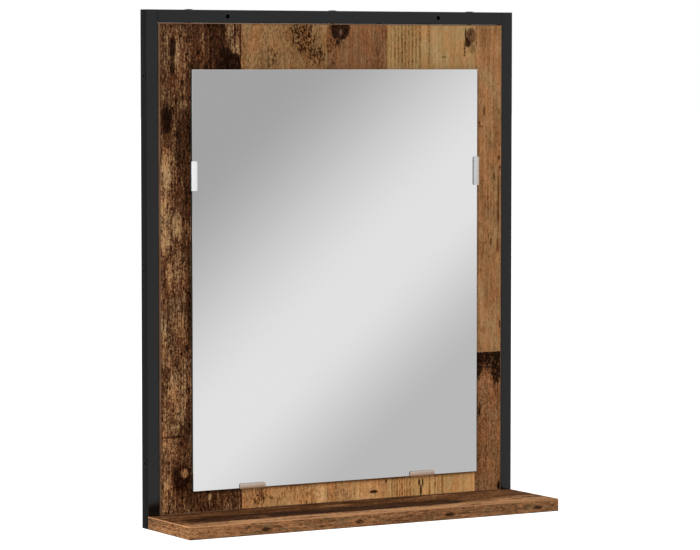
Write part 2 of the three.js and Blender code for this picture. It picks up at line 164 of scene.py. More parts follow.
def make_world():
    """A white studio. Matt and glossy surfaces get even light, and the mirror sees soft slanting bands."""
    world = bpy.data.worlds.new("white_studio")
    bpy.context.scene.world = world
    world.use_nodes = True
    world.node_tree.nodes.clear()
    g = Graph(world.node_tree)
    x, y, z = g.split(g.node("TexCoord").outputs["Generated"])
    heading = g.math("ARCTAN2", x, g.math("MULTIPLY", y, -1.0))
    rise = g.math("ARCSINE", z)
    slant = g.math("DEGREES", g.math("SUBTRACT", heading, rise))
    turns = g.math("DIVIDE", g.math("SUBTRACT", slant, SHEEN_START), SHEEN_PERIOD)
    bands = g.ramp(g.math("FRACT", turns), [(at, (level,) * 3) for at, level in SHEEN_LEVELS], "EASE")
    behind = g.smooth(y, -0.1, 0.3)
    rays = g.node("LightPath").outputs
    sides = g.mix(rays["Is Singular Ray"], ROOM_SIDES, bands)
    seen = g.mix(behind, sides, ROOM_BACK)
    seen = g.mix(g.smooth(g.math("ABSOLUTE", z), 0.4, 0.75), seen, ROOM_BRIGHT)
    strength = g.mix(rays["Is Glossy Ray"], ROOM_LIGHT, seen)
    strength = g.mix(rays["Is Camera Ray"], strength, 1.0)
    background = g.node("Background", {"Color": (1, 1, 1), "Strength": strength})
    g.node("OutputWorld", {"Surface": background.outputs[0]})


def make_floor():
    half = FLOOR_HALF_WIDTH
    height = post_low.z - FLOOR_DROP
    mesh = bpy.data.meshes.new("floor")
    corners = [(-half, -half, height), (half, -half, height), (half, half, height), (-half, half, height)]
    mesh.from_pydata(corners, [], [(0, 1, 2, 3)])
    material, g, shader = new_finish("pale_floor")
    shader.inputs["Base Color"].default_value = (0.8, 0.8, 0.8, 1)
    shader.inputs["Roughness"].default_value = 1
    seen = g.node("LightPath").outputs["Is Camera Ray"]
    g.feed(shader.inputs["Emission Color"], g.blend(seen, (0, 0, 0), (1, 1, 1)))
    shader.inputs["Emission Strength"].default_value = 1
    mesh.materials.append(material)
    floor = bpy.data.objects.new("floor", mesh)
    bpy.context.scene.collection.objects.link(floor)
    floor.visible_glossy = False


def make_lights():
    light = bpy.data.lights.new("soft_key", "AREA")
    light.size = KEY_SIZE
    light.energy = KEY_POWER
    key = bpy.data.objects.new("soft_key", light)
    key.location = KEY_PLACE
    aim = (panel_low + panel_high) / 2
    key.rotation_euler = (aim - key.location).to_track_quat("-Z", "Y").to_euler()
    key.visible_glossy = False
    bpy.context.scene.collection.objects.link(key)


def make_camera():
    azimuth = math.radians(CAMERA_AZIMUTH)
    pitch = math.radians(CAMERA_PITCH)
    ahead = Vector((math.sin(azimuth) * math.cos(pitch), math.cos(azimuth) * math.cos(pitch),
                    -math.sin(pitch)))
    data = bpy.data.cameras.new("camera")
    data.sensor_width = CAMERA_SENSOR
    data.lens = CAMERA_LENS
    camera = bpy.data.objects.new("camera", data)
    camera.location = CAMERA_PLACE
    camera.rotation_euler = ahead.to_track_quat("-Z", "Y").to_euler()
    bpy.context.scene.collection.objects.link(camera)
    bpy.context.scene.camera = camera


# ---- Effects that several finishes use -----------------------------------


def new_group(name, inputs, outputs):
    """An empty node group with named sockets; gives its graph, its input sockets and its output node."""
    tree = bpy.data.node_groups.new(name, "ShaderNodeTree")
    kinds = {"value": "NodeSocketFloat", "vector": "NodeSocketVector", "colour": "NodeSocketColor"}
    for socket, kind in inputs.items():
        tree.interface.new_socket(name=socket, in_out="INPUT", socket_type=kinds[kind])
    for socket, kind in outputs.items():
        tree.interface.new_socket(name=socket, in_out="OUTPUT", socket_type=kinds[kind])
    source = tree.nodes.new("NodeGroupInput").outputs
    sink = tree.nodes.new("NodeGroupOutput").inputs
    return Graph(tree), source, sink


def use_group(g, group, inputs):
    node = g.node("Group", node_tree=group)
    for name, value in inputs.items():
        g.feed(node.inputs[name], value)
    return node.outputs


def make_wood_grain():
    """Patterns of wood whose grain runs along Z, from a place in millimetres.

    Fibre, Fleck and Mottle swing from -1 to 1; Dash is 1 in short dark pores and 0 between them.
    """
    g, source, sink = new_group(
        "wood grain", {"Place": "vector", "Seed": "value"},
        {"Fibre": "value", "Fleck": "value", "Mottle": "value", "Dash": "value", "Relief": "value"},
    )
    shift = g.vector("MULTIPLY", g.join(source["Seed"], source["Seed"], source["Seed"]), (97, 61, 143))
    place = g.vector("ADD", source["Place"], shift)
    sway = g.math("SUBTRACT", g.streaks(place, (0.02, 0.02, 0.008), 2), 0.5)
    place = g.vector("ADD", place, g.join(g.math("MULTIPLY", sway, 9.0), 0.0, 0.0))
    fibre = g.streaks(place, (0.5, 0.5, 0.014), 3, 0.6)
    fleck = g.streaks(place, (0.42, 0.42, 0.15), 3, 0.7)
    grit = g.streaks(place, (0.8, 0.8, 0.42), 1, 0.5)
    mottle = g.streaks(place, (0.045, 0.045, 0.02), 3, 0.55)
    dash = g.streaks(place, (0.52, 0.52, 0.17), 2, 0.6)
    g.feed(sink["Fibre"], g.smooth(fibre, 0.34, 0.66, -1.0, 1.0))
    broken = g.math("MULTIPLY", g.smooth(fleck, 0.32, 0.68, -1.0, 1.0), 0.75)
    gritty = g.math("MULTIPLY", g.smooth(grit, 0.35, 0.65, -1.0, 1.0), 0.6)
    g.feed(sink["Fleck"], g.math("ADD", broken, gritty))
    g.feed(sink["Mottle"], g.smooth(mottle, 0.34, 0.66, -1.0, 1.0))
    g.feed(sink["Dash"], g.smooth(dash, 0.56, 0.65))
    g.feed(sink["Relief"], g.math("ADD", g.math("MULTIPLY", fibre, 0.5), g.math("MULTIPLY", fleck, 0.5)))
    return g.tree


def make_spot():
    """An oval with a ragged edge: 1 inside and 0 outside. Reach is its half width and half height."""
    g, source, sink = new_group(
        "spot",
        {"Place": "vector", "Middle": "vector", "Reach": "vector", "Rag": "value", "Soft": "value"},
        {"Mask": "value"},
    )
    offset = g.vector("SUBTRACT", source["Place"], source["Middle"])
    length = g.vector("LENGTH", g.vector("DIVIDE", offset, source["Reach"]))
    ragged = g.math("ADD", length, source["Rag"])
    inner = g.math("SUBTRACT", 1.0, source["Soft"])
    outer = g.math("ADD", 1.0, source["Soft"])
    g.feed(sink["Mask"], g.smooth(ragged, outer, inner))
    return g.tree


def make_three_tones():
    """A colour between dark, middle and light, from a tone of 0 to 1."""
    g, source, sink = new_group(
        "three tones",
        {"Tone": "value", "Dark": "colour", "Middle": "colour", "Light": "colour"},
        {"Colour": "colour"},
    )
    lower = g.math("MULTIPLY", source["Tone"], 2.0, clamp=True)
    upper = g.math("SUBTRACT", g.math("MULTIPLY", source["Tone"], 2.0), 1.0, clamp=True)
    colour = g.blend(lower, source["Dark"], source["Middle"])
    g.feed(sink["Colour"], g.blend(upper, colour, source["Light"]))
    return g.tree


def make_edge_rub():
    """Where rounded edges are rubbed: high on faces that look along no single axis."""
    g, source, sink = new_group("edge rub", {"Place": "vector", "Amount": "value"}, {"Mask": "value"})
    x, y, z = g.split(g.vector("ABSOLUTE", g.node("NewGeometry").outputs["Normal"]))
    flat = g.math("MAXIMUM", g.math("MAXIMUM", x, y), z)
    edge = g.smooth(flat, 0.97, 0.8)
    patchy = g.smooth(g.noise(source["Place"], 0.25, 3, 0.6), 0.45, 0.7)
    rub = g.math("MULTIPLY", g.math("MULTIPLY", edge, patchy), source["Amount"])
    g.feed(sink["Mask"], rub)
    return g.tree


wood_grain = make_wood_grain()
spot = make_spot()
three_tones = make_three_tones()
edge_rub = make_edge_rub()

# ---- Finishes ---------------------------------------------------------------


def srgb(red, green, blue):
    """Linear colour from the 0 to 255 values that a picture shows."""
    def linear(value):
        value = value / 255
        return value / 12.92 if value <= 0.04045 else ((value + 0.055) / 1.055) ** 2.4
    return linear(red), linear(green), linear(blue)


def new_finish(name):
    """An empty material; gives it, its graph and its Principled shader."""
    material = bpy.data.materials.new(name)
    material.use_nodes = True
    shader = material.node_tree.nodes["Principled BSDF"]
    return material, Graph(material.node_tree), shader


def bump(g, shader, height, strength, distance):
    node = g.node("Bump", {"Height": height, "Strength": strength, "Distance": distance})
    g.feed(shader.inputs["Normal"], node.outputs[0])


def millimetres(g):
    return g.vector("MULTIPLY", g.node("TexCoord").outputs["Object"], (1 / MM,) * 3)


# The panel's planks from left to right: where each begins, its colours, how strong its fibres,
# flecks, mottling and pores are, and how its lower end differs in red, green and blue. Part of that
# lift towards the lower end is painted light that offsets the shade near the shelf.
PLANKS = (
    # weathered
    {"from": -235, "dark": (20, 7, 2), "middle": (83, 51, 32), "light": (176, 138, 99),
     "fibre": 0.12, "fleck": 0.23, "mottle": 0.12, "pores": 0.48, "lower": (1.15, 1.11, 1.02)},
    # tan
    {"from": -127.8, "dark": (54, 27, 10), "middle": (136, 98, 63), "light": (178, 140, 102),
     "fibre": 0.05, "fleck": 0.17, "mottle": 0.1, "pores": 0.3, "lower": (2.12, 2.1, 1.92)},
    # reddish
    {"from": -11, "dark": (58, 31, 16), "middle": (126, 86, 57), "light": (164, 121, 88),
     "fibre": 0.1, "fleck": 0.13, "mottle": 0.06, "pores": 0.2, "lower": (2.8, 3.1, 2.7)},
    # striped
    {"from": 70.8, "dark": (84, 50, 25), "middle": (160, 123, 80), "light": (200, 165, 122),
     "fibre": 0.09, "fleck": 0.1, "mottle": 0.04, "pores": 0.05, "lower": (1.66, 1.6, 1.46)},
    # orange
    {"from": 195.8, "dark": (78, 43, 21), "middle": (150, 107, 70), "light": (194, 150, 110),
     "fibre": 0.1, "fleck": 0.14, "mottle": 0.1, "pores": 0.2, "lower": (1.0, 1.0, 0.93)},
    # the short one at the lower right
    {"from": 195.8, "dark": (30, 14, 7), "middle": (120, 80, 52), "light": (166, 123, 90),
     "fibre": 0.08, "fleck": 0.24, "mottle": 0.1, "pores": 0.16, "lower": (1.2, 1.2, 1.08)},
)
LOWER_RIGHT_TOP = 186.2  # the last plank lies below this height
LOWER_FADE = (300, 60)  # heights between which each plank turns to its lower colour
SEAMS = ((-127.8, 0.45), (-11, 0.2), (70.8, 0.12))  # place and depth of tone of the seams that show

# Places in the panel's decor: middle, half width and half height, raggedness, softness and strength.
# Heights are from the posts' lower ends, in millimetres.
WEATHERED_DARK = (
    (-216.3, 556, 3.4, 13, 0.9, 0.4, 0.55),
    (-217, 532, 3, 7, 0.9, 0.5, 0.35),
    (-161.5, 560, 13.5, 90, 0.35, 0.14, 0.33),
    (-160, 545, 12, 24, 0.9, 0.3, 0.42),
    (-188, 560, 11, 36, 0.9, 0.5, 0.2),
    (-150, 537, 14, 20, 0.5, 0.16, 0.5),
    (-140, 535, 14, 15, 0.4, 0.16, 0.55),
    (-131, 535, 9, 11, 0.4, 0.16, 0.55),
    (-135, 574, 1.6, 13, 0.9, 0.4, 0.3),
    (-225.5, 474.5, 7.6, 15.5, 0.9, 0.3, 0.46),
    (-201, 458, 10, 24, 1.1, 0.5, 0.33),
    (-206, 428, 9, 20, 1.1, 0.6, 0.26),
    (-196, 215, 5, 70, 1.1, 0.6, 0.16),
    (-196, 110, 6, 50, 1.1, 0.6, 0.16),
    (-203, 400, 10, 30, 1.0, 0.6, 0.22),
    (-199, 379, 9, 26, 1.1, 0.6, 0.28),
    (-198, 325, 7, 15, 1.0, 0.5, 0.2),
    (-207, 57, 12, 17, 0.8, 0.35, 0.42),
    (-160, 30, 40, 22, 1.2, 0.6, 0.14),
    (-182, 34, 14, 16, 1.0, 0.5, 0.2),
    (-217, 105.5, 13, 1.6, 0.9, 0.5, 0.35),
    (-200, 90, 2.4, 9, 0.9, 0.5, 0.2),
)
WEATHERED_LIGHT = (
    (-227, 408, 7, 22, 1.1, 0.6, 0.33),
    (-226, 369, 7, 17, 1.1, 0.6, 0.34),
    (-213, 351, 6, 14, 1.1, 0.6, 0.34),
    (-227, 333, 7, 18, 1.1, 0.6, 0.34),
    (-222.5, 296, 4, 15, 1.0, 0.6, 0.27),
    (-228.6, 230, 4.5, 12, 1.0, 0.6, 0.24),
    (-225, 200, 6, 16, 1.1, 0.6, 0.2),
    (-222, 164, 6, 12, 1.1, 0.6, 0.16),
    (-226, 47, 3.2, 8, 0.8, 0.5, 0.24),
    (-203, 62.5, 5, 6, 0.15, 0.25, 0.6),
    (-170, 33.5, 2.2, 4, 0.3, 0.4, 0.4),
    (-140, 570, 6.5, 16, 0.5, 0.3, 0.02),
    (-133, 557, 5, 7, 0.6, 0.3, 0.12),
)
TAN_SPECKLED = (
    (-44, 571, 17, 17, 1.3, 0.5, 0.7),
    (-26, 548, 10, 10, 1.3, 0.5, 0.6),
    (-87, 544, 8, 9, 1.3, 0.5, 0.4),
    (-5, 554, 5, 20, 1.2, 0.5, 0.4),
    (0, 561, 14, 8, 1.2, 0.5, 0.3),
    (62, 552, 8, 28, 1.3, 0.6, 0.2),
    (-104, 28, 12, 8, 1.1, 0.5, 0.4),
    (-88, 25, 5, 4, 1.1, 0.5, 0.3),
    (-45, 30, 16, 10, 1.2, 0.5, 0.12),
    (10, 27, 18, 12, 1.2, 0.5, 0.2),
)
OTHER_DARK = (
    (-19, 556, 6, 30, 0.8, 0.6, 0.06),
    (-45, 550, 26, 7, 0.9, 0.6, 0.12),
    (69.3, 573, 1.2, 6, 0.3, 0.4, 0.35),
    (150.9, 545.6, 3.4, 0.9, 0.3, 0.4, 0.3),
    (208.6, 481, 1.3, 9, 0.4, 0.4, 0.35),
    (200.5, 466, 2.6, 1.6, 0.4, 0.4, 0.3),
    (204.5, 461.5, 2.6, 1.3, 0.4, 0.4, 0.3),
    (230.1, 423.5, 1.9, 3, 0.3, 0.4, 0.45),
    (231.3, 411.5, 1.6, 2.4, 0.3, 0.4, 0.45),
    (223, 400, 1.4, 4.4, 0.3, 0.4, 0.3),
    (229.5, 362, 1.3, 44, 1.1, 0.5, 0.42),
    (219.1, 321.4, 1.7, 5, 0.2, 0.3, 0.4),
    (229, 316, 2.6, 10, 1.0, 0.4, 0.4),
    (232.3, 219.1, 1.9, 5, 0.2, 0.3, 0.6),
    (208, 213.3, 3.4, 5, 0.5, 0.5, 0.2),
    (52.7, 24.7, 5.2, 1.8, 0.8, 0.3, 0.85),
    (70, 36, 1.3, 2, 0.3, 0.3, 0.4),
)
LOWER_RIGHT_DARK = (
    (214, 184, 26, 13, 0.6, 0.25, 0.95),
    (201, 172, 7, 17, 0.9, 0.3, 0.8),
    (227, 166, 8.5, 20, 0.9, 0.3, 0.8),
    (214, 171, 10, 12, 0.8, 0.5, 0.44),
    (226, 143, 4, 9, 1.1, 0.4, 0.3),
    (202.5, 116, 2.2, 7, 0.7, 0.4, 0.45),
    (198.5, 109, 1.5, 5, 0.7, 0.4, 0.4),
    (231.3, 20.9, 2.8, 4.6, 0.3, 0.3, 0.9),
)
STRIPES_ABOVE = (76.6, 81.6, 86.8, 92, 96.4, 101.2, 106.4, 111.4, 117, 129.8)  # where dark stripes lie
STRIPES_BELOW = (78.4, 82, 85.5, 89, 92.5, 96, 99.5, 103.8, 108, 131, 139, 150)
STRIPES_ABOVE_MIDDLE = 565  # the height of the stripes' middles
STRIPES_BELOW_MIDDLE = 20
STRIPE_HALF_WIDTH = 1.1
STRIPE_ROW = (40, 0.3, 0.6, 0.34)  # half height, raggedness, softness and strength
STRIPED_LIGHT = (
    (77, 560, 2.6, 40, 0.5, 0.5, 0.12),
    (124, 560, 3.4, 40, 0.5, 0.5, 0.12),
    (141, 560, 8, 40, 0.5, 0.5, 0.08),
    (-18.5, 31, 5.5, 14, 0.4, 0.5, 0.15),
)

TOP_KNOT = ((6.2, 580, 13.6, 14.6, 0.5, 0.12, 1.0), (3, 563.5, 3.2, 4.4, 0.5, 0.3, 0.9))
TOP_KNOT_HEART = ((7, 575, 1.6, 3.6, 0.5, 0.5, 0.8),)
SIDE_KNOT = ((189.4, 571.5, 7, 9.5, 0.3, 0.2, 0.9), (191, 556, 4.4, 6, 0.6, 0.5, 0.5))
SIDE_KNOT_BLACK = (
    (181.6, 573, 1.1, 8, 0.3, 0.3, 0.9),
    (183.4, 565.5, 2, 4, 0.5, 0.3, 0.95),
    (185.4, 561.6, 4, 4.6, 0.9, 0.3, 0.95),
    (181, 561, 1.2, 5, 0.4, 0.3, 0.8),
    (180.4, 555.6, 1.2, 1.6, 0.3, 0.3, 0.9),
    (180.6, 551.8, 1.2, 1.6, 0.3, 0.3, 0.9),
    (180, 548, 1, 1.6, 0.3, 0.3, 0.8),
)
SLIT_KNOT = (
    (116.6, 32, 1.3, 4.6, 0.4, 0.3, 0.95),
    (121.6, 32, 1.2, 5.4, 0.4, 0.3, 0.9),
    (119, 22, 1.5, 7, 0.4, 0.3, 0.9),
)


def spots(g, place, rag, rows):
    """The strongest of several ragged spots."""
    total = 0.0
    for x, z, half_width, half_height, ragged, soft, strength in rows:
        edge = g.math("MULTIPLY", rag, ragged)
        mask = use_group(g, spot, {"Place": place, "Middle": (x, 0, z), "Rag": edge, "Soft": soft,
                                   "Reach": (half_width, 1, half_height)})[0]
        total = g.math("MAXIMUM", g.math("MULTIPLY", mask, strength), total)
    return total


def stripes(g, place, rag, middles, height):
    """Upright dark stripes of one plank, centred on a height."""
    rows = [(x, height, STRIPE_HALF_WIDTH, *STRIPE_ROW) for x in middles]
    return spots(g, place, rag, rows)


def fraying(g, pattern, strength=1.8):
    """What frays the edges of spots: a noise pattern that swings about 0."""
    return g.math("MULTIPLY", g.math("SUBTRACT", pattern, 0.5), strength)


def grained(g, grain, base, **amounts):
    """A tone that swings about its base with the patterns of the grain."""
    tone = base
    for pattern, amount in amounts.items():
        tone = g.math("ADD", g.math("MULTIPLY", grain[pattern], amount), tone)
    return tone


def between_tones(g, tone, dark, middle, light):
    """The colour that a tone of 0 to 1 gives, from dark by way of middle to light."""
    return use_group(g, three_tones, {"Tone": tone, "Dark": dark, "Middle": middle, "Light": light})[0]


def plank_steps(g, wavy, z, rag):
    """For each plank after the first, 1 from its beginning onwards and 0 before it."""
    steps = [g.math("GREATER_THAN", wavy, plank["from"]) for plank in PLANKS[1:]]
    below = g.math("LESS_THAN", g.math("ADD", z, g.math("MULTIPLY", rag, 1.2)), LOWER_RIGHT_TOP)
    steps[-1] = g.math("MULTIPLY", steps[-1], below)
    return steps


def of_plank(g, steps, value):
    """What value gives for the plank that a point lies in, as a colour or three numbers."""
    result = value(PLANKS[0])
    for step, plank in zip(steps, PLANKS[1:]):
        result = g.blend(step, result, value(plank))
    return result


def panel_darkness(g, steps, flat, rag, hard, fleck):
    """How much the stains, specks and stripes darken the panel's decor."""
    speckled = g.math("MULTIPLY", spots(g, flat, rag, TAN_SPECKLED), g.mix(hard, 0.15, 1.0))
    weathered = g.math("SUBTRACT", 1.0, steps[0])
    stained = g.math("MULTIPLY", spots(g, flat, rag, WEATHERED_DARK), weathered)
    darkness = g.math("ADD", speckled, g.math("MAXIMUM", stained, spots(g, flat, rag, OTHER_DARK)))
    patch = spots(g, flat, rag, LOWER_RIGHT_DARK)
    patch = g.math("MULTIPLY", patch, g.math("MULTIPLY", steps[-1], g.mix(hard, 0.6, 1.15)))
    darkness = g.math("ADD", darkness, patch)
    bands = g.math("MAXIMUM", stripes(g, flat, rag, STRIPES_ABOVE, STRIPES_ABOVE_MIDDLE),
                   stripes(g, flat, rag, STRIPES_BELOW, STRIPES_BELOW_MIDDLE))
    bands = g.math("MULTIPLY", bands, g.smooth(fleck, -1.0, 0.6, 1.15, 0.55))
    return g.math("ADD", darkness, bands)


def panel_seams(g, wavy):
    """How deep the seams between the planks are."""
    seam = 0.0
    for seam_x, strength in SEAMS:
        gap = g.math("ABSOLUTE", g.math("SUBTRACT", wavy, seam_x))
        seam = g.math("MAXIMUM", g.smooth(gap, 1.0, 0.3, 0.0, strength), seam)
    return seam


def panel_wood():
    """The panel's decor: six old planks side by side, with their knots, cracks and dark stains."""
    material, g, shader = new_finish("panel_wood")
    place = g.vector("SUBTRACT", millimetres(g), (0, 0, floor_line / MM))
    x, y, z = g.split(place)
    coarse = g.streaks(place, (0.18, 0.18, 0.055), 2, 0.5)
    fine = g.streaks(place, (0.55, 0.55, 0.18), 2, 0.6)
    rag = fraying(g, g.mix(0.55, coarse, fine))
    flat = g.join(x, 0.0, z)
    wavy = g.math("ADD", x, g.math("MULTIPLY", g.math("SUBTRACT", coarse, 0.5), 1.2))

    steps = plank_steps(g, wavy, z, rag)
    dark, middle, light = (of_plank(g, steps, lambda plank, tone=tone: srgb(*plank[tone]))
                           for tone in ("dark", "middle", "light"))
    fibre, fleck, mottle = g.split(
        of_plank(g, steps, lambda plank: (plank["fibre"], plank["fleck"], plank["mottle"])))
    pores, seed = g.split(of_plank(g, steps, lambda plank: (plank["pores"], PLANKS.index(plank), 0)))[:2]
    lower = of_plank(g, steps, lambda plank: plank["lower"])

    grain = use_group(g, wood_grain, {"Place": place, "Seed": seed})
    tone = grained(g, grain, 0.52, Fibre=fibre, Fleck=fleck, Mottle=mottle)
    tone = g.math("SUBTRACT", tone, g.math("MULTIPLY", grain["Dash"], pores))
    hard = g.smooth(g.streaks(place, (0.5, 0.5, 0.33), 2, 0.6), 0.47, 0.56)
    tone = g.math("ADD", tone, spots(g, flat, rag, WEATHERED_LIGHT + STRIPED_LIGHT))
    tone = g.math("SUBTRACT", tone, panel_darkness(g, steps, flat, rag, hard, grain["Fleck"]))
    seam = panel_seams(g, wavy)
    tone = g.math("SUBTRACT", tone, seam)

    colour = between_tones(g, tone, dark, middle, light)
    burnt = g.smooth(tone, 0.05, -0.4, 0.0, 0.85)
    colour = g.blend(burnt, colour, srgb(22, 8, 2))
    hue = g.streaks(place, (0.06, 0.06, 0.03), 2, 0.5)
    warmth = g.blend(g.smooth(hue, 0.35, 0.65), (1.06, 0.96, 0.9), (0.95, 1.03, 1.06))
    colour = g.vector("MULTIPLY", colour, warmth)
    # Partly painted light: most planks turn lighter towards their lower ends, in part to offset the shade
    # near the shelf.
    colour = g.vector("MULTIPLY", colour, g.blend(g.smooth(z, *LOWER_FADE), (1, 1, 0.95), lower))
    colour, knots = add_knots(g, flat, rag, hard, colour)
    behind = g.math("GREATER_THAN", g.split(g.node("NewGeometry").outputs["Normal"])[1], 0.5)
    sheet = g.blend(g.smooth(rag, -0.35, 0.35), srgb(132, 104, 76), srgb(176, 148, 116))
    colour = g.blend(behind, colour, sheet)

    g.feed(shader.inputs["Base Color"], colour)
    g.feed(shader.inputs["Roughness"], g.mix(grain["Relief"], 0.62, 0.5))
    shader.inputs["Specular IOR Level"].default_value = 0.04
    relief = g.math("SUBTRACT", grain["Relief"], g.math("MULTIPLY", grain["Dash"], 0.3))
    relief = g.math("SUBTRACT", relief, g.math("ADD", seam, knots))
    bump(g, shader, relief, 0.3, 0.25 * MM)
    return material


def add_knots(g, flat, rag, hard, colour):
    """The black knot at the panel's upper edge, the red one beside the striped plank and a slit knot."""
    top = spots(g, flat, rag, TOP_KNOT)
    colour = g.blend(top, colour, g.blend(hard, srgb(50, 28, 16), srgb(20, 8, 3)))
    colour = g.blend(spots(g, flat, rag, TOP_KNOT_HEART), colour, srgb(112, 84, 68))
    swirl = g.streaks(flat, (0.2, 0.2, 0.14), 3, 0.7)
    body = g.blend(g.smooth(swirl, 0.38, 0.62), srgb(50, 26, 16), srgb(108, 70, 47))
    colour = g.blend(spots(g, flat, rag, SIDE_KNOT), colour, body)
    black = spots(g, flat, rag, SIDE_KNOT_BLACK + SLIT_KNOT)
    colour = g.blend(black, colour, srgb(34, 14, 5))
    return colour, g.math("MAXIMUM", top, black)


# Places in the shelf's decor, as in the panel's: middle along the shelf and in front of the frame.
SHELF_LIGHT = (
    (0, -97, 900, 18, 0.35, 0.12, 0.42),
    (-134, -72, 7, 12, 0.6, 0.3, 0.3),
    (-243, -78, 12, 26, 0.8, 0.4, 0.16),
    (226, -72, 62, 24, 0.6, 0.25, 0.16),
    (178, -76, 46, 15, 0.6, 0.25, 0.34),
    (95, -22, 30, 12, 1.0, 0.5, 0.12),
    (-30, -24, 34, 10, 1.0, 0.5, 0.12),
    (190, -12, 70, 18, 1.0, 0.5, 0.1),
    (-232, -10, 30, 14, 1.0, 0.5, 0.1),
)
SHELF_DARK = (
    (-160, -57, 64, 20, 0.6, 0.25, 0.23),
    (-60, -58, 70, 20, 0.6, 0.25, 0.29),
    (56, -60, 80, 20, 0.6, 0.25, 0.29),
    (114, -60, 24, 18, 0.6, 0.3, 0.33),
    (-20, -79, 46, 5, 1.0, 0.4, 0.12),
    (70, -80, 50, 6, 1.0, 0.4, 0.18),
    (20, -22, 16, 22, 1.0, 0.5, 0.14),
    (-160, -34, 40, 9, 1.0, 0.5, 0.1),
    (206, -80, 9, 5, 0.8, 0.4, 0.36),
)


def shelf_wood():
    """The shelf's decor: a dark plank lengthwise, with a paler stretch along the front edge."""
    material, g, shader = new_finish("shelf_wood")
    x, y, z = g.split(millimetres(g))
    depth = g.math("SUBTRACT", y, post_low.y / MM)
    place = g.join(depth, z, x)
    rag = fraying(g, g.streaks(place, (0.2, 0.2, 0.016), 4, 0.7), 1.6)
    flat = g.join(x, 0.0, depth)
    grain = use_group(g, wood_grain, {"Place": place, "Seed": 7.0})
    tone = grained(g, grain, 0.37, Fibre=0.24, Fleck=0.16, Mottle=0.08, Dash=-0.18)
    tone = g.math("SUBTRACT", tone, spots(g, flat, rag, SHELF_DARK))
    tone = g.math("ADD", tone, spots(g, flat, rag, SHELF_LIGHT))
    colour = between_tones(g, tone, srgb(26, 10, 3), srgb(114, 72, 43), srgb(238, 178, 124))
    g.feed(shader.inputs["Base Color"], colour)
    g.feed(shader.inputs["Roughness"], g.mix(grain["Relief"], 0.6, 0.48))
    shader.inputs["Specular IOR Level"].default_value = 0.02
    bump(g, shader, grain["Relief"], 0.3, 0.25 * MM)
    return material


# Dark marks in the shelf's front edge, with heights from its lower side.
FRONT_MARKS = (
    (-152, 6.2, 5.5, 2.2, 0.8, 0.4, 0.6),
    (-28, 6.2, 5.5, 2.2, 0.8, 0.4, 0.6),
    (96, 6.2, 5.5, 2.2, 0.8, 0.4, 0.6),
    (220, 6.2, 5.5, 2.2, 0.8, 0.4, 0.6),
    (-170, 11, 8, 1.2, 0.9, 0.4, 0.2),
    (-236, 8, 5, 1.4, 0.8, 0.4, 0.25),
    (-136, 8, 6, 1.4, 0.9, 0.4, 0.25),
    (-4, 10, 6, 1.4, 0.9, 0.4, 0.25),
    (118, 7.5, 6, 1.4, 0.9, 0.4, 0.25),
    (204, 10, 5, 1.3, 0.8, 0.4, 0.25),
    (243, 8, 4, 1.6, 0.8, 0.4, 0.3),
)


def shelf_edge(name, lengthwise, lift, marks=()):
    """The shelf's printed edge band; its grain runs along X or along Y, and lift makes it paler, which on
    the shelf's ends is painted light. A painted highlight runs along its top edge and painted shade along
    its lower edge.
    """
    material, g, shader = new_finish(name)
    x, y, z = g.split(millimetres(g))
    place = g.join(y, z, x) if lengthwise == "x" else g.join(x, z, y)
    grain = use_group(g, wood_grain, {"Place": g.vector("MULTIPLY", place, (1.0, 1.0, 0.8)), "Seed": 3.0})
    tone = grained(g, grain, 0.53, Fibre=0.14, Fleck=0.2, Mottle=0.1, Dash=-0.34)
    height = g.math("SUBTRACT", z, floor_line / MM)
    flat = g.join(x, 0.0, height)
    rag = fraying(g, g.streaks(place, (0.5, 0.5, 0.16), 2, 0.6))
    tone = g.math("SUBTRACT", tone, spots(g, flat, rag, marks))
    colour = between_tones(g, tone, srgb(56, 32, 14), srgb(136, 92, 58), srgb(184, 134, 90))
    moss = g.streaks(place, (0.24, 0.24, 0.05), 4, 0.65)
    colour = g.blend(g.smooth(moss, 0.52, 0.62, 0.0, 0.45), colour, srgb(92, 80, 56))
    # Painted highlight: a light line along the band's top edge.
    colour = g.blend(g.smooth(height, 13.6, 14.6, 0.0, 0.6), colour, srgb(206, 148, 104))
    # Painted shade: a dark line along the band's lower edge.
    colour = g.blend(g.smooth(height, 0.9, 0.3, 0.0, 0.7), colour, srgb(50, 32, 20))
    colour = g.vector("MULTIPLY", colour, (lift, lift, lift))
    g.feed(shader.inputs["Base Color"], colour)
    shader.inputs["Roughness"].default_value = 0.55
    shader.inputs["Specular IOR Level"].default_value = 0.08
    bump(g, shader, grain["Relief"], 0.3, 0.2 * MM)
    return material


def panel_edge():
    """The plain light-brown band round the panel."""
    material, g, shader = new_finish("panel_edge_band")
    grain = use_group(g, wood_grain, {"Place": millimetres(g), "Seed": 5.0})
    tone = grained(g, grain, 0.5, Fibre=0.1, Fleck=0.14, Mottle=0.12)
    colour = between_tones(g, tone, srgb(78, 54, 38), srgb(110, 82, 62), srgb(140, 108, 84))
    g.feed(shader.inputs["Base Color"], colour)
    shader.inputs["Roughness"].default_value = 0.6
    shader.inputs["Specular IOR Level"].default_value = 0.03
    return material


def frame_paint():
    """Black powder coat: a very fine orange-peel skin, a little rubbed on its edges."""
    material, g, shader = new_finish("frame_paint")
    place = millimetres(g)
    peel = g.noise(place, 0.9, 2, 0.5)
    cloud = g.noise(place, 0.02, 3, 0.6)
    rub = use_group(g, edge_rub, {"Place": place, "Amount": 0.35})[0]
    colour = g.blend(g.smooth(cloud, 0.3, 0.7), (0.0014, 0.0015, 0.0016), (0.0022, 0.0023, 0.0024))
    g.feed(shader.inputs["Base Color"], g.blend(rub, colour, (0.012, 0.012, 0.013)))
    g.feed(shader.inputs["Roughness"], g.mix(cloud, 0.09, 0.13))
    shader.inputs["IOR"].default_value = 1.54
    bump(g, shader, peel, 0.06, 0.05 * MM)
    return material


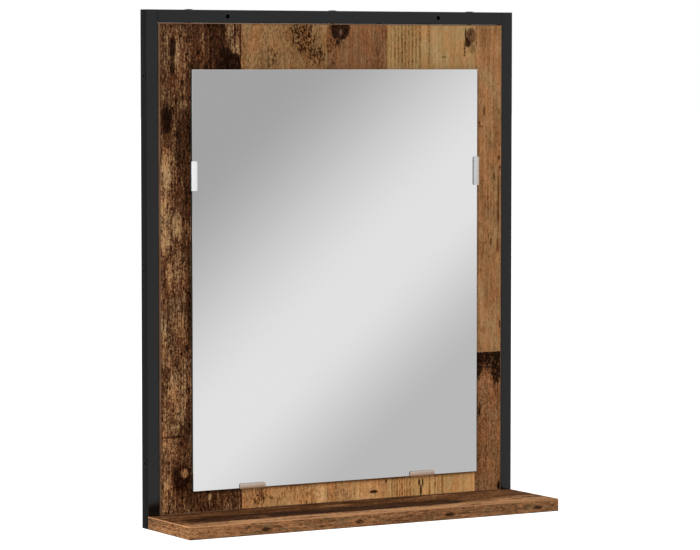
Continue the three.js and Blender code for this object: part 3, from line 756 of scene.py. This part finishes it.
def black_oxide():
    """Blackened steel, with turning marks that catch the light."""
    material, g, shader = new_finish("bolt_black")
    marks = g.noise(millimetres(g), 1.2, 3, 0.6)
    g.feed(shader.inputs["Base Color"], g.blend(marks, (0.055, 0.055, 0.057), (0.15, 0.15, 0.153)))
    g.feed(shader.inputs["Roughness"], g.mix(marks, 0.2, 0.34))
    shader.inputs["Metallic"].default_value = 1
    bump(g, shader, marks, 0.1, 0.03 * MM)
    return material


def plug_plastic():
    material, g, shader = new_finish("plug_plastic")
    moulded = g.noise(millimetres(g), 1.6, 3, 0.6)
    g.feed(shader.inputs["Base Color"], g.blend(moulded, (0.006, 0.006, 0.006), (0.012, 0.012, 0.012)))
    shader.inputs["Roughness"].default_value = 0.55
    bump(g, shader, moulded, 0.2, 0.04 * MM)
    return material


def plain_metal(name, colour, roughness):
    """Plated steel with faint turning marks."""
    material, g, shader = new_finish(name)
    marks = g.streaks(millimetres(g), (0.4, 3.0, 3.0), 3, 0.6)
    g.feed(shader.inputs["Base Color"], g.blend(marks, tuple(0.7 * value for value in colour), colour))
    g.feed(shader.inputs["Roughness"], g.mix(marks, roughness, roughness + 0.12))
    shader.inputs["Metallic"].default_value = 1
    bump(g, shader, marks, 0.1, 0.02 * MM)
    return material


def mirror_silver():
    """Silvered glass, perfectly smooth, with the faintest cloudiness."""
    material, g, shader = new_finish("mirror_silver")
    haze = g.noise(millimetres(g), 0.012, 3, 0.6)
    g.feed(shader.inputs["Base Color"], g.blend(haze, (0.878, 0.878, 0.878), (0.888, 0.886, 0.886)))
    shader.inputs["Roughness"].default_value = 0
    shader.inputs["Metallic"].default_value = 1
    return material


def glass_edge():
    material, g, shader = new_finish("glass_edge")
    tint = g.noise(millimetres(g), 0.2, 2, 0.5)
    g.feed(shader.inputs["Base Color"], g.blend(tint, (0.02, 0.03, 0.026), (0.035, 0.05, 0.045)))
    shader.inputs["Roughness"].default_value = 0.18
    return material


def mirror_backing():
    """The grey paint behind the silver."""
    material, g, shader = new_finish("mirror_backing")
    cloud = g.noise(millimetres(g), 0.08, 3, 0.6)
    g.feed(shader.inputs["Base Color"], g.blend(cloud, (0.16, 0.17, 0.18), (0.2, 0.21, 0.22)))
    shader.inputs["Roughness"].default_value = 0.7
    return material


# The clips' lips: colours at the web and at the free end, how milky they are, and how milky the web is.
# These colours are painted light on one clear plastic: the left clip's white is a painted reflection of the
# bright room, and the right and bottom clips' grey and beige are painted reflection and painted show-through
# of the wood.
CLIP_LEFT_PAINTED_LIGHT = ((0.87, 0.86, 0.87), (0.9, 0.9, 0.91), 0.9, 0.9)
CLIP_RIGHT_PAINTED_LIGHT = ((0.8, 0.7, 0.6), (0.64, 0.67, 0.71), 0.84, 0.6)
CLIP_BOTTOM_PAINTED_LIGHT = ((0.34, 0.17, 0.08), (0.64, 0.51, 0.41), 0.9, 0.35)


def clip_plastic(name, inward, look):
    """Clear moulded plastic: the lip looks milky from in front, and the rest is nearly clear. Its colours
    are painted light, and the dark grey of its sides is painted shade.
    """
    web_colour, free_colour, cover, web_cover = look
    material, g, shader = new_finish(name)
    place = millimetres(g)
    flow = g.noise(place, 0.3, 2, 0.5)
    edge = min(glass_low.dot(inward), glass_high.dot(inward)) / MM
    along = g.node("VectorMath", {0: place, 1: inward}, operation="DOT_PRODUCT").outputs["Value"]
    reach = g.math("DIVIDE", g.math("SUBTRACT", along, edge), CLIP_LIP_REACH / MM)
    surface = g.node("NewGeometry").outputs
    facing = g.split(surface["Normal"])[1]
    before_glass = g.math("LESS_THAN", g.split(place)[1], glass_low.y / MM)
    front = g.math("MULTIPLY", g.smooth(facing, -0.75, -0.95), before_glass)
    web = g.smooth(reach, 0.02, -0.02)
    wavy = g.math("ADD", reach, g.math("MULTIPLY", flow, 0.05))
    colour = g.blend(g.smooth(wavy, -0.2, 0.9), web_colour, free_colour)
    # Painted light: the lip's colours stand in for reflections and the wood seen through it, and the dark
    # grey on its sides is painted shade.
    g.feed(shader.inputs["Base Color"], g.blend(front, (0.2, 0.2, 0.21), colour))
    shader.inputs["Roughness"].default_value = 0.12
    side = g.mix(web, 0.75, 0.0)
    milky = g.mix(web, g.mix(flow, cover - 0.03, cover + 0.03), web_cover)
    seen_from_outside = g.math("SUBTRACT", 1.0, surface["Backfacing"])
    g.feed(shader.inputs["Alpha"], g.math("MULTIPLY", g.mix(front, side, milky), seen_from_outside))
    bump(g, shader, flow, 0.05, 0.05 * MM)
    return material


# ---- Mesh makers --------------------------------------------------------------


def add_piece(name, bm, nodes, materials, sharp_angle=35):
    """Makes the object for a mesh, lets it stand for its CAD nodes and gives it its finishes."""
    bmesh.ops.recalc_face_normals(bm, faces=bm.faces)
    mesh = bpy.data.meshes.new(name)
    bm.to_mesh(mesh)
    bm.free()
    for material in materials:
        mesh.materials.append(material)
    piece = bpy.data.objects.new(name, mesh)
    bpy.context.scene.collection.objects.link(piece)
    smooth_by_angle(mesh, sharp_angle)
    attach(piece, "root")
    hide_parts(*nodes)
    return piece


def smooth_by_angle(mesh, angle):
    mesh.shade_smooth()
    mesh.set_sharp_from_angle(angle=math.radians(angle))


def join_rings(bm, rings, around=False):
    """Skins successive rings of points with quads; around also joins the last ring to the first."""
    loops = [[bm.verts.new(point) for point in ring] for ring in rings]
    pairs = list(zip(loops, loops[1:]))
    if around:
        pairs.append((loops[-1], loops[0]))
    count = len(loops[0])
    for first, second in pairs:
        for index in range(count):
            after = (index + 1) % count
            bm.faces.new((first[index], first[after], second[after], second[index]))
    return loops


def point_at(*places):
    """A point from pairs of an axis and a place along it."""
    point = Vector((0, 0, 0))
    for axis, place in places:
        point[axis] = place
    return point


def rounded_ring(half_width, half_depth, radius, steps=5):
    """Points round a rectangle with rounded corners, centred on the origin of its plane."""
    points = []
    for corner, (side, end) in enumerate(((1, 1), (-1, 1), (-1, -1), (1, -1))):
        for step in range(steps + 1):
            angle = (corner + step / steps) * math.pi / 2
            points.append((side * (half_width - radius) + radius * math.cos(angle),
                           end * (half_depth - radius) + radius * math.sin(angle)))
    return points


TUBE_WALL = 1.2 * MM
TUBE_CORNER = 0.8 * MM
TUBE_INNER_CORNER = 0.3 * MM
TUBE_END_EASE = 0.15 * MM


def square_tube(low, high, axis):
    """A square tube that fills a box, open along the axis, with rounded corners and eased ends."""
    sides = [index for index in range(3) if index != axis]
    middle = (low + high) / 2
    half = [(high[index] - low[index]) / 2 for index in sides]

    def ring(at, inset, radius):
        return [point_at((axis, at), (sides[0], middle[sides[0]] + first),
                         (sides[1], middle[sides[1]] + second))
                for first, second in rounded_ring(half[0] - inset, half[1] - inset, radius)]

    ease = TUBE_END_EASE
    bm = bmesh.new()
    join_rings(bm, [
        ring(low[axis], ease, TUBE_CORNER - ease),
        ring(low[axis] + ease, 0, TUBE_CORNER),
        ring(high[axis] - ease, 0, TUBE_CORNER),
        ring(high[axis], ease, TUBE_CORNER - ease),
        ring(high[axis], TUBE_WALL, TUBE_INNER_CORNER),
        ring(low[axis], TUBE_WALL, TUBE_INNER_CORNER),
    ], around=True)
    return bm


def round_bar(bm, centre, direction, length, radius, segments=40):
    """Adds a closed round bar to a mesh, centred on a point and lying along a direction."""
    turn = Vector(direction).to_track_quat("Z", "Y").to_matrix().to_4x4()
    place = Matrix.Translation(centre) @ turn
    bmesh.ops.create_cone(bm, cap_ends=True, segments=segments, radius1=radius, radius2=radius,
                          depth=length, matrix=place)


def cut_away(piece, cutter_mesh, sharp_angle=35):
    """Takes the closed shapes of a mesh away from a piece and settles the result."""
    mesh = bpy.data.meshes.new("cutter")
    cutter_mesh.to_mesh(mesh)
    cutter_mesh.free()
    cutter = bpy.data.objects.new("cutter", mesh)
    bpy.context.scene.collection.objects.link(cutter)
    modifier = piece.modifiers.new("cut", "BOOLEAN")
    modifier.operation = "DIFFERENCE"
    modifier.solver = "EXACT"
    modifier.object = cutter
    settle(piece)
    bpy.data.objects.remove(cutter)
    smooth_by_angle(piece.data, sharp_angle)


def settle(piece):
    """Turns a piece's modifiers into its mesh."""
    shown = piece.evaluated_get(bpy.context.evaluated_depsgraph_get())
    mesh = bpy.data.meshes.new_from_object(shown)
    piece.modifiers.clear()
    piece.data = mesh


def eased_box(low, high, ease, segments=2):
    """A box with every edge rounded a little."""
    bm = bmesh.new()
    bmesh.ops.create_cube(bm, size=1)
    for vert in bm.verts:
        vert.co = Vector(high[axis] if vert.co[axis] > 0 else low[axis] for axis in range(3))
    bmesh.ops.bevel(bm, geom=bm.edges[:], offset=ease, segments=segments, profile=0.5,
                    affect="EDGES", clamp_overlap=True)
    return bm


def turned(profile, segments, place):
    """A solid of revolution about Z from (radius, height) pairs, moved to its place."""
    bm = bmesh.new()
    rings = []
    for radius, height in profile:
        rings.append([Vector((radius * math.cos(2 * math.pi * step / segments),
                              radius * math.sin(2 * math.pi * step / segments), height))
                      for step in range(segments)])
    loops = join_rings(bm, rings)
    bm.faces.new(loops[0][::-1])
    bm.faces.new(loops[-1])
    bmesh.ops.remove_doubles(bm, verts=bm.verts, dist=1e-7)
    bm.transform(place)
    return bm


# ---- Frame ----------------------------------------------------------------------

HOLE_OVERRUN = 1 * MM
BOLT_DRILL_LENGTH = 60 * MM
BOLT_HOLE = 2.75 * MM
WALL_HOLE = 2.5 * MM
WALL_HOLE_INSET = 90 * MM  # from the panel's side
SCREW_HOLE = 2.25 * MM
SCREW_ACCESS_HOLE = 4.25 * MM

INTO_WALL = (0, 1, 0)
SIDES = {"left": Vector((-1, 0, 0)), "right": Vector((1, 0, 0)), "top": Vector((0, 0, 1)),
         "bottom": Vector((0, 0, -1))}


def middle_of(node):
    low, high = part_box(node)
    return (low + high) / 2


def make_tube(node, axis, side, paint, holes=()):
    """A tube of one side of the frame, drilled for its three bolts and for any more holes."""
    low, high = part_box(node)
    tube = add_piece(f"{node}_tube", square_tube(low, high, axis), [node], [paint])
    drill = bmesh.new()
    for number in (1, 2, 3):
        round_bar(drill, middle_of(f"bolt_{side}_{number}"), SIDES[side], BOLT_DRILL_LENGTH, BOLT_HOLE)
    for centre, length, radius in holes:
        round_bar(drill, centre, INTO_WALL, length, radius)
    cut_away(tube, drill)


def wall_holes():
    """The two holes through the top rail: centre, length and radius of each drill."""
    low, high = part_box("top_rail")
    middle = (low + high) / 2
    length = high.y - low.y + 2 * HOLE_OVERRUN
    return [(Vector((x, middle.y, middle.z)), length, WALL_HOLE)
            for x in (panel_low.x + WALL_HOLE_INSET, panel_high.x - WALL_HOLE_INSET)]


def shelf_screw_holes():
    """In the bottom rail, a narrow hole in front of each screw's head and a wide one behind it."""
    low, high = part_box("bottom_rail")
    height = (low.z + high.z) / 2
    holes = []
    for number in (1, 2, 3, 4):
        x = middle_of(f"shelf_screw_{number}").x
        for face, radius in ((low.y, SCREW_HOLE), (high.y, SCREW_ACCESS_HOLE)):
            holes.append((Vector((x, face, height)), 4 * TUBE_WALL, radius))
    return holes


def make_frame(paint):
    make_tube("left_post", 2, "left", paint)
    make_tube("right_post", 2, "right", paint)
    make_tube("top_rail", 0, "top", paint, wall_holes())
    make_tube("bottom_rail", 0, "bottom", paint, shelf_screw_holes())


PLUG_EASE = 0.5 * MM


def make_plugs(plastic):
    for side in ("left", "right"):
        for end in ("top", "bottom"):
            node = f"{side}_post_{end}_plug"
            low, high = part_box(node)
            plug = eased_box(low, high, PLUG_EASE, 3)
            add_piece(f"{node}_cap", plug, [node], [plastic])


BOLT_SHANK = 2.5 * MM
BOLT_HEAD = 5 * MM
BOLT_RIM = 0.2 * MM
BOLT_RISE = 0.6 * MM
BOLT_LENGTH = 30 * MM
BOLT_KEY = 3 * MM  # across the hexagon's flats
BOLT_KEY_DEPTH = 2 * MM
BOLT_TIP = 0.6 * MM  # the bevel of the shank's end
BOLT_EASE = 0.15 * MM  # the bevel under the head's rim
DOME_STEPS = 8
BOLT_SEGMENTS = 48


def bolt_profile():
    """A bolt's half outline from the shank's tip to the dome's top; the head sits on height 0."""
    points = [(0, -BOLT_LENGTH), (BOLT_SHANK - BOLT_TIP, -BOLT_LENGTH),
              (BOLT_SHANK, BOLT_TIP - BOLT_LENGTH), (BOLT_SHANK, 0),
              (BOLT_HEAD - BOLT_EASE, 0), (BOLT_HEAD, BOLT_EASE)]
    for step in range(DOME_STEPS):
        angle = step / DOME_STEPS * math.pi / 2
        rise = BOLT_RIM + (BOLT_RISE - BOLT_RIM) * math.sin(angle)
        points.append((BOLT_HEAD * math.cos(angle), rise))
    points.append((0, BOLT_RISE))
    return points


def make_bolts(black):
    """Low domed bolts, each with a hexagon socket."""
    for side, outward in SIDES.items():
        for number in (1, 2, 3):
            node = f"bolt_{side}_{number}"
            low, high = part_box(node)
            crown = middle_of(node)
            axis = 0 if outward.x else 2
            crown[axis] = high[axis] if outward[axis] > 0 else low[axis]
            seat = crown - outward * BOLT_RISE
            place = Matrix.Translation(seat) @ outward.to_track_quat("Z", "Y").to_matrix().to_4x4()
            bolt = add_piece(f"{node}_dome", turned(bolt_profile(), BOLT_SEGMENTS, place), [node],
                             [black], 30)
            socket = bmesh.new()
            round_bar(socket, crown, outward, 2 * BOLT_KEY_DEPTH, BOLT_KEY / math.sqrt(3), 6)
            cut_away(bolt, socket, 30)


# ---- Boards -----------------------------------------------------------------------

BAND_EASE = 0.3 * MM


def make_edge_bands(panel_band, front_band, end_band):
    for side in ("left", "right", "top", "bottom"):
        node = f"panel_edge_band_{side}"
        low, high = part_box(node)
        add_piece(f"{node}_strip", eased_box(low, high, BAND_EASE), [node],
                  [panel_band])
    for side, band in (("front", front_band), ("left", end_band), ("right", end_band)):
        node = f"shelf_edge_band_{side}"
        low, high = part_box(node)
        add_piece(f"{node}_strip", eased_box(low, high, BAND_EASE), [node], [band])


# ---- Glass and clips --------------------------------------------------------------

GLASS_BEVEL = 0.5 * MM
SILVER, EDGE, BACKING = 0, 1, 2  # the pane's materials


def make_glass(silver, edge, backing):
    """The pane: silvered face, ground edges and painted back."""
    pane = eased_box(glass_low, glass_high, GLASS_BEVEL, 2)
    bmesh.ops.recalc_face_normals(pane, faces=pane.faces)
    for face in pane.faces:
        if face.normal.y < -0.3:
            face.material_index = SILVER
        elif face.normal.y > 0.9:
            face.material_index = BACKING
        else:
            face.material_index = EDGE
    add_piece("mirror_pane", pane, ["mirror_glass"], [silver, edge, backing], 20)


CLIP_WALL = 1.5 * MM
CLIP_CLEARANCE = 0.25 * MM
CLIP_CORNER = 2 * MM
CLIP_CORNER_STEPS = 6
CLIP_EASE = 0.25 * MM
CLIP_LIP_REACH = 6 * MM  # past the glass's edge

CLIPS = {"clip_left": Vector((1, 0, 0)), "clip_right": Vector((-1, 0, 0)),
         "clip_bottom_left": Vector((0, 0, 1)), "clip_bottom_right": Vector((0, 0, 1))}


def clip_mesh(node, inward):
    """A hooked clip: a leg behind the glass, a web past its edge and a lip with rounded corners over it."""
    low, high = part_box(node)
    along = 2 if inward.x else 0
    across = 0 if inward.x else 2
    sign = inward[across]
    edge, outside, leg_end = glass_low[across], low[across], high[across]
    if sign < 0:
        edge, outside, leg_end = glass_high[across], leg_end, outside
    web_inside = edge - sign * CLIP_CLEARANCE
    lip_end = edge + sign * CLIP_LIP_REACH
    front, back = low.y, high.y
    profile = [(outside, back), (leg_end, back), (leg_end, back - CLIP_WALL), (web_inside, back - CLIP_WALL),
               (web_inside, front + CLIP_WALL), (lip_end, front + CLIP_WALL), (lip_end, front),
               (outside, front)]
    bm = bmesh.new()
    loops = join_rings(bm, [[point_at((along, at), (across, place), (1, depth)) for place, depth in profile]
                            for at in (low[along], high[along])])
    bm.faces.new(loops[0])
    bm.faces.new(loops[1][::-1])
    corners = [bm.edges.get((loop[5], loop[6])) for loop in loops]
    bmesh.ops.bevel(bm, geom=corners, offset=CLIP_CORNER, segments=CLIP_CORNER_STEPS, profile=0.5,
                    affect="EDGES")
    return bm


def make_clips(finishes):
    for node, inward in CLIPS.items():
        piece = add_piece(f"{node}_hook", clip_mesh(node, inward), [node],
                          [finishes[node]], 30)
        modifier = piece.modifiers.new("ease", "BEVEL")
        modifier.width = CLIP_EASE
        modifier.segments = 2
        modifier.limit_method = "ANGLE"
        modifier.angle_limit = math.radians(40)
        settle(piece)
        drill = bmesh.new()
        for number in (1, 2):
            screw_low, screw_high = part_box(f"{node}_screw_{number}")
            radius = (screw_high.x - screw_low.x) / 2 + CLIP_CLEARANCE
            centre = (screw_low + screw_high) / 2
            centre.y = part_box(node)[1].y
            round_bar(drill, centre, INTO_WALL, 4 * CLIP_WALL, radius, 32)
        cut_away(piece, drill, 30)


# ---- Putting it together -----------------------------------------------------------


def dress(nodes, material):
    """Gives CAD nodes that stay as they are their finish."""
    for name in nodes:
        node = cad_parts[name]
        node.data.materials.clear()
        node.data.materials.append(material)


def build():
    bpy.context.scene.view_settings.view_transform = "Standard"
    make_world()
    make_floor()
    make_lights()
    make_camera()

    make_frame(frame_paint())
    make_plugs(plug_plastic())
    make_bolts(black_oxide())
    dress(["back_panel"], panel_wood())
    dress(["shelf_board"], shelf_wood())
    front_band = shelf_edge("shelf_front_edge", "x", 1.0, FRONT_MARKS)
    # The end bands are lifted 1.6 times: painted light on the shelf's ends.
    make_edge_bands(panel_edge(), front_band, shelf_edge("shelf_end_edge_painted_lighter", "y", 1.6))
    make_glass(mirror_silver(), glass_edge(), mirror_backing())
    white = clip_plastic("clip_clear_left", CLIPS["clip_left"], CLIP_LEFT_PAINTED_LIGHT)
    grey = clip_plastic("clip_clear_right", CLIPS["clip_right"], CLIP_RIGHT_PAINTED_LIGHT)
    beige = clip_plastic("clip_clear_bottom", CLIPS["clip_bottom_left"], CLIP_BOTTOM_PAINTED_LIGHT)
    make_clips({"clip_left": white, "clip_right": grey, "clip_bottom_left": beige,
                "clip_bottom_right": beige})
    names = list(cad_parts)
    dress([name for name in names if name.startswith("insert_")],
          plain_metal("insert_zinc", (0.55, 0.5, 0.4), 0.35))
    dress([name for name in names if "screw" in name], plain_metal("screw_steel", (0.6, 0.6, 0.61), 0.3))


build()
